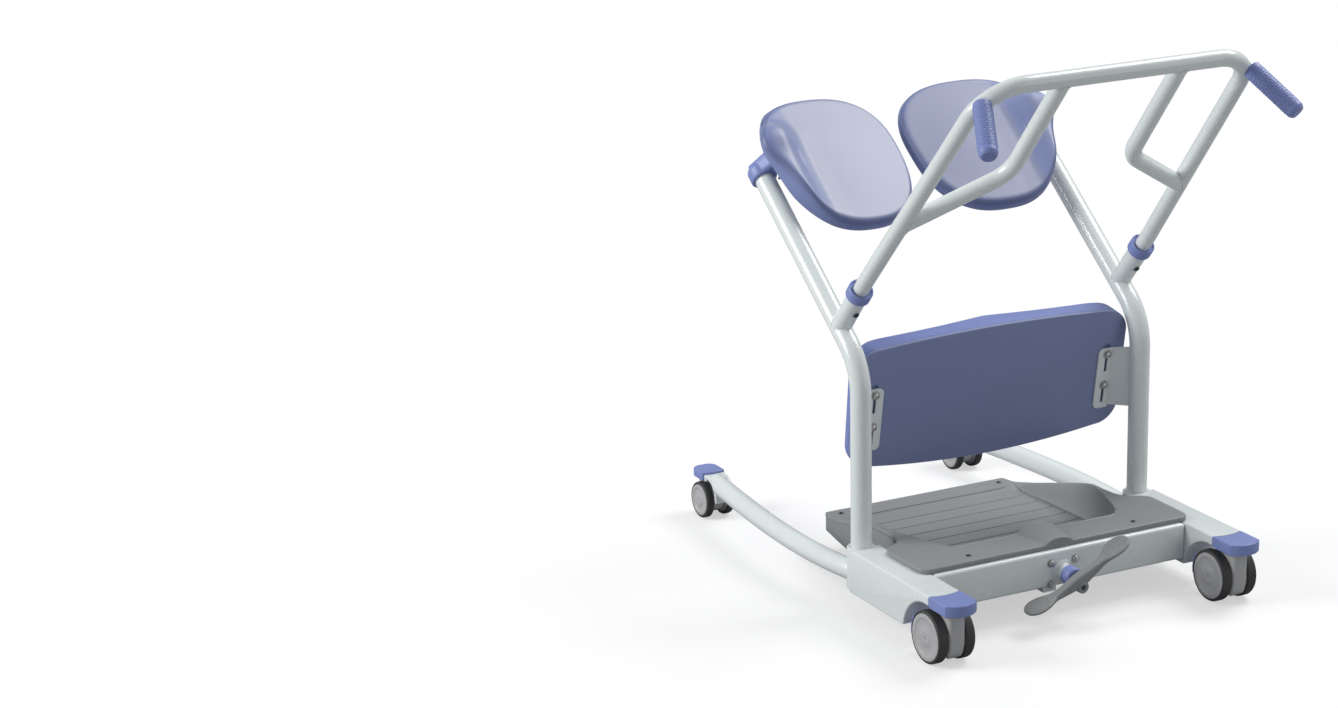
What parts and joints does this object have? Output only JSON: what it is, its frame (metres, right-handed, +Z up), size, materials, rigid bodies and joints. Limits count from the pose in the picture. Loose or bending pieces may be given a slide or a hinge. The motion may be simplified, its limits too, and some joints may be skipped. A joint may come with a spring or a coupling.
{
  "type": "stand aid",
  "caption": "Wheeled sit-to-stand frame with fold-away half seats, sliding knee pad, foot tray, push handle and pedal-spread legs.",
  "frame": {"origin": "on the floor under the middle of the bounding box, with the legs closed and the seats down", "axes": "+Z up, -Y towards the seated user and the open ends of the legs, +Y towards the person who pushes, +X to the right seen from the user's side looking along +Y"},
  "size_m": [0.7122, 1.1212, 1.0804],
  "materials": {
    "powder_coat": "gloss",
    "blue_plastic": "satin",
    "knee_cushion_blue": "satin",
    "seat_cushion_lilac": "satin",
    "board_dark_blue": "matte",
    "platform_grey": "matte",
    "pedal_grey": "matte",
    "castor_grey": "satin",
    "wheel_grey": "satin",
    "tyre_rubber": "matte",
    "steel": "satin"
  },
  "bodies": {
    "base": {"chassis": "powder_coat", "column_left": "powder_coat", "column_right": "powder_coat", "foot_platform": "platform_grey", "grip_left": "blue_plastic", "grip_right": "blue_plastic", "handle_frame": "powder_coat", "handle_socket_left": "powder_coat", "handle_socket_right": "powder_coat", "inner_bar_left": "powder_coat", "inner_bar_right": "powder_coat", "knee_bracket_left": "powder_coat", "knee_bracket_right": "powder_coat", "pedal_boss": "powder_coat", "rear_cap_left": "blue_plastic", "rear_cap_right": "blue_plastic", "side_box_left": "powder_coat", "side_box_right": "powder_coat", "socket_collar_left": "blue_plastic", "socket_collar_right": "blue_plastic"},
    "pedal": {"foot_pedal": "pedal_grey", "pedal_shaft": "steel", "pedal_collar": "blue_plastic"},
    "knee_rest": {"knee_pad": "knee_cushion_blue", "knee_board": "board_dark_blue"},
    "leg_left_assembly": {"leg_left": "powder_coat", "toe_plate_left": "powder_coat", "front_cap_left": "blue_plastic"},
    "half_seat_left": {"seat_pad_left": "seat_cushion_lilac", "seat_arm_left": "blue_plastic"},
    "front_left_swivel": {"front_left_castor": "castor_grey"},
    "front_left_inner_roller": {"front_left_inner_wheel": "wheel_grey", "front_left_inner_tyre": "tyre_rubber"},
    "front_left_outer_roller": {"front_left_outer_wheel": "wheel_grey", "front_left_outer_tyre": "tyre_rubber"},
    "rear_left_swivel": {"rear_left_castor": "castor_grey"},
    "rear_left_inner_roller": {"rear_left_inner_wheel": "wheel_grey", "rear_left_inner_tyre": "tyre_rubber"},
    "rear_left_outer_roller": {"rear_left_outer_wheel": "wheel_grey", "rear_left_outer_tyre": "tyre_rubber"},
    "brake_left": {"rear_left_brake": "blue_plastic"},
    "leg_right_assembly": {"leg_right": "powder_coat", "toe_plate_right": "powder_coat", "front_cap_right": "blue_plastic"},
    "half_seat_right": {"seat_pad_right": "seat_cushion_lilac", "seat_arm_right": "blue_plastic"},
    "front_right_swivel": {"front_right_castor": "castor_grey"},
    "front_right_inner_roller": {"front_right_inner_wheel": "wheel_grey", "front_right_inner_tyre": "tyre_rubber"},
    "front_right_outer_roller": {"front_right_outer_wheel": "wheel_grey", "front_right_outer_tyre": "tyre_rubber"},
    "rear_right_swivel": {"rear_right_castor": "castor_grey"},
    "rear_right_inner_roller": {"rear_right_inner_wheel": "wheel_grey", "rear_right_inner_tyre": "tyre_rubber"},
    "rear_right_outer_roller": {"rear_right_outer_wheel": "wheel_grey", "rear_right_outer_tyre": "tyre_rubber"},
    "brake_right": {"rear_right_brake": "blue_plastic"}
  },
  "joints": [
    {"name": "leg_left_spread", "type": "hinge", "parent": "base", "child": "leg_left_assembly", "pos_m": [-0.314, 0.10742, 0.075], "axis": [0, 0, -1], "range_deg": [0, 16]},
    {"name": "seat_left_fold", "type": "hinge", "parent": "base", "child": "half_seat_left", "pos_m": [-0.314, -0.23819, 0.75293], "axis": [0, -0.7837, 0.6211], "range_deg": [0, 95]},
    {"name": "front_left_swivel_turn", "type": "hinge", "parent": "leg_left_assembly", "child": "front_left_swivel", "pos_m": [-0.301, -0.53458, 0.0775], "axis": [0, 0, 1], "continuous": true},
    {"name": "front_left_inner_roll", "type": "hinge", "parent": "front_left_swivel", "child": "front_left_inner_roller", "pos_m": [-0.301, -0.51258, 0.0375], "axis": [1, 0, 0], "continuous": true},
    {"name": "front_left_outer_roll", "type": "hinge", "parent": "front_left_swivel", "child": "front_left_outer_roller", "pos_m": [-0.301, -0.51258, 0.0375], "axis": [1, 0, 0], "continuous": true},
    {"name": "rear_left_swivel_turn", "type": "hinge", "parent": "base", "child": "rear_left_swivel", "pos_m": [-0.3135, 0.42742, 0.106], "axis": [0, 0, 1], "continuous": true},
    {"name": "rear_left_inner_roll", "type": "hinge", "parent": "rear_left_swivel", "child": "rear_left_inner_roller", "pos_m": [-0.3135, 0.39642, 0.05], "axis": [1, 0, 0], "continuous": true},
    {"name": "rear_left_outer_roll", "type": "hinge", "parent": "rear_left_swivel", "child": "rear_left_outer_roller", "pos_m": [-0.3135, 0.39642, 0.05], "axis": [1, 0, 0], "continuous": true},
    {"name": "brake_left_press", "type": "hinge", "parent": "rear_left_swivel", "child": "brake_left", "pos_m": [-0.3135, 0.39642, 0.05], "axis": [1, 0, 0], "range_deg": [0, 14]},
    {"name": "leg_right_spread", "type": "hinge", "parent": "base", "child": "leg_right_assembly", "pos_m": [0.314, 0.10742, 0.075], "axis": [0, 0, 1], "range_deg": [0, 16]},
    {"name": "seat_right_fold", "type": "hinge", "parent": "base", "child": "half_seat_right", "pos_m": [0.314, -0.23819, 0.75293], "axis": [0, 0.7837, -0.6211], "range_deg": [0, 95]},
    {"name": "front_right_swivel_turn", "type": "hinge", "parent": "leg_right_assembly", "child": "front_right_swivel", "pos_m": [0.301, -0.53458, 0.0775], "axis": [0, 0, 1], "continuous": true},
    {"name": "front_right_inner_roll", "type": "hinge", "parent": "front_right_swivel", "child": "front_right_inner_roller", "pos_m": [0.301, -0.51258, 0.0375], "axis": [1, 0, 0], "continuous": true},
    {"name": "front_right_outer_roll", "type": "hinge", "parent": "front_right_swivel", "child": "front_right_outer_roller", "pos_m": [0.301, -0.51258, 0.0375], "axis": [1, 0, 0], "continuous": true},
    {"name": "rear_right_swivel_turn", "type": "hinge", "parent": "base", "child": "rear_right_swivel", "pos_m": [0.3135, 0.42742, 0.106], "axis": [0, 0, 1], "continuous": true},
    {"name": "rear_right_inner_roll", "type": "hinge", "parent": "rear_right_swivel", "child": "rear_right_inner_roller", "pos_m": [0.3135, 0.39642, 0.05], "axis": [1, 0, 0], "continuous": true},
    {"name": "rear_right_outer_roll", "type": "hinge", "parent": "rear_right_swivel", "child": "rear_right_outer_roller", "pos_m": [0.3135, 0.39642, 0.05], "axis": [1, 0, 0], "continuous": true},
    {"name": "brake_right_press", "type": "hinge", "parent": "rear_right_swivel", "child": "brake_right", "pos_m": [0.3135, 0.39642, 0.05], "axis": [1, 0, 0], "range_deg": [0, 14]},
    {"name": "pedal_rock", "type": "hinge", "parent": "base", "child": "pedal", "pos_m": [0, 0.36942, 0.085], "axis": [0, -1, 0], "range_deg": [0, 53]},
    {"name": "knee_rest_slide", "type": "slide", "parent": "base", "child": "knee_rest", "axis": [0, 0.165, 0.9863], "range_m": [-0.035, 0]}
  ],
  "couplings": [
    {"joint": "leg_right_spread", "follows": "leg_left_spread", "ratio": 1},
    {"joint": "pedal_rock", "follows": "leg_left_spread", "ratio": 3.3125}
  ]
}
